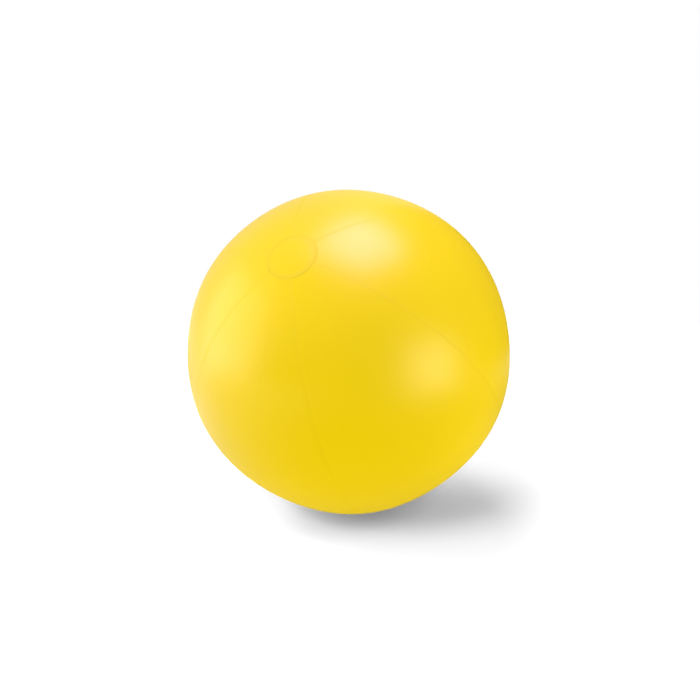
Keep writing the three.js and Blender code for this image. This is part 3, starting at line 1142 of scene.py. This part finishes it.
def tab_shape():
    """A flat tongue with a round end, in millimetres."""
    ends = [math.pi * step / TAB_STEPS for step in range(TAB_STEPS + 1)]
    outline = [(TAB_HALF_WIDTH * math.cos(a), TAB_END + TAB_HALF_WIDTH * math.sin(a)) for a in ends]
    outline += [(-TAB_HALF_WIDTH, TAB_ROOT), (TAB_HALF_WIDTH, TAB_ROOT)]
    shape = bmesh.new()
    shape.faces.new([shape.verts.new((x * MM, y * MM, HEAD_BASE * MM)) for x, y in outline])
    grown = bmesh.ops.extrude_face_region(shape, geom=shape.faces[:])
    lifted = [v for v in grown["geom"] if isinstance(v, bmesh.types.BMVert)]
    bmesh.ops.translate(shape, verts=lifted, vec=(0, 0, TAB_THICKNESS * MM))
    bmesh.ops.recalc_face_normals(shape, faces=shape.faces)
    rims = [e for e in shape.edges if abs(e.verts[0].co.z - e.verts[1].co.z) < LEVEL]
    bmesh.ops.bevel(
        shape, geom=rims, offset=TAB_BEVEL, segments=TAB_BEVEL_STEPS, affect="EDGES", profile=0.5
    )
    return shape


tab = keep("tab", tab_shape(), valve_place, valve_white)
joined = plug.modifiers.new("tab", "BOOLEAN")
joined.operation = "UNION"
joined.solver = "EXACT"
joined.object = tab
evaluated = plug.evaluated_get(bpy.context.evaluated_depsgraph_get())
plug.data = bpy.data.meshes.new_from_object(evaluated)
plug.modifiers.clear()
bpy.data.objects.remove(tab)
plug.data.set_sharp_from_angle(angle=MOULDED_SHARP)
settle(plug, "plug", "valve", "valve_plug")

# %% [markdown]
# The strap is a flat band that is bent double when the plug is in. It is a section with round
# edges, carried along the bent path. Where it bends it is thinner, as a moulded hinge is.

# %% Strap
STRAP_WIDTH = 4.0
STRAP_THICKNESS = 1.2
STRAP_THIN = 0.8
STRAP_BITE = 0.2
STRAP_TOP = HEAD_BASE + 0.8
STRAP_ROOT = STEM_RIM - 2.6
RUN_STEPS = 6
BEND_STEPS = 24
BEND_CENTRE = -(STEM_RADIUS + VALVE_GAP + 1.8)
EDGE_SHARE = 0.42
EDGE_STEPS = 5


def strap_path():
    """Points of the band's middle with the outward normal and the bend's share at each."""
    bend = (STRAP_TOP - STRAP_ROOT) / 2
    level = (STRAP_TOP + STRAP_ROOT) / 2
    first = -(STEM_RADIUS - STRAP_BITE)
    last = -(HEAD_RADIUS - STRAP_BITE)
    run = [first + (BEND_CENTRE - first) * step / RUN_STEPS for step in range(RUN_STEPS)]
    path = [(Vector((0, y, STRAP_ROOT)), Vector((0, 0, -1)), 0.0) for y in run]
    for step in range(BEND_STEPS + 1):
        angle = math.pi * step / BEND_STEPS
        out = Vector((0, -math.sin(angle), -math.cos(angle)))
        path.append((Vector((0, BEND_CENTRE, level)) + out * bend, out, math.sin(angle)))
    run = [BEND_CENTRE + (last - BEND_CENTRE) * (step + 1) / RUN_STEPS for step in range(RUN_STEPS)]
    path += [(Vector((0, y, STRAP_TOP)), Vector((0, 0, 1)), 0.0) for y in run]
    return path


def strap_section(thickness):
    """A rectangle with round edges, as (sideways, outwards) pairs."""
    edge = thickness * EDGE_SHARE
    section = []
    for side, out in ((1, 1), (-1, 1), (-1, -1), (1, -1)):
        for step in range(EDGE_STEPS + 1):
            angle = math.atan2(out, side) - math.pi / 4 + math.pi / 2 * step / EDGE_STEPS
            section.append((
                side * (STRAP_WIDTH / 2 - edge) + edge * math.cos(angle),
                out * (thickness / 2 - edge) + edge * math.sin(angle),
            ))
    return section


def strap_shape():
    shape = bmesh.new()
    rings = []
    for middle, out, bent in strap_path():
        section = strap_section(STRAP_THICKNESS + (STRAP_THIN - STRAP_THICKNESS) * bent)
        places = [middle + Vector((side, 0, 0)) + out * lift for side, lift in section]
        rings.append([shape.verts.new(place * MM) for place in places])
    count = len(rings[0])
    for ring, following in zip(rings, rings[1:]):
        for i in range(count):
            j = (i + 1) % count
            shape.faces.new((ring[i], ring[j], following[j], following[i]))
    shape.faces.new(rings[0])
    shape.faces.new(rings[-1])
    bmesh.ops.recalc_face_normals(shape, faces=shape.faces)
    return shape


strap = keep("strap", strap_shape(), valve_place, valve_white)
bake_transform(strap)
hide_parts("plug_strap")
print("strap", len(strap.data.polygons), "faces")
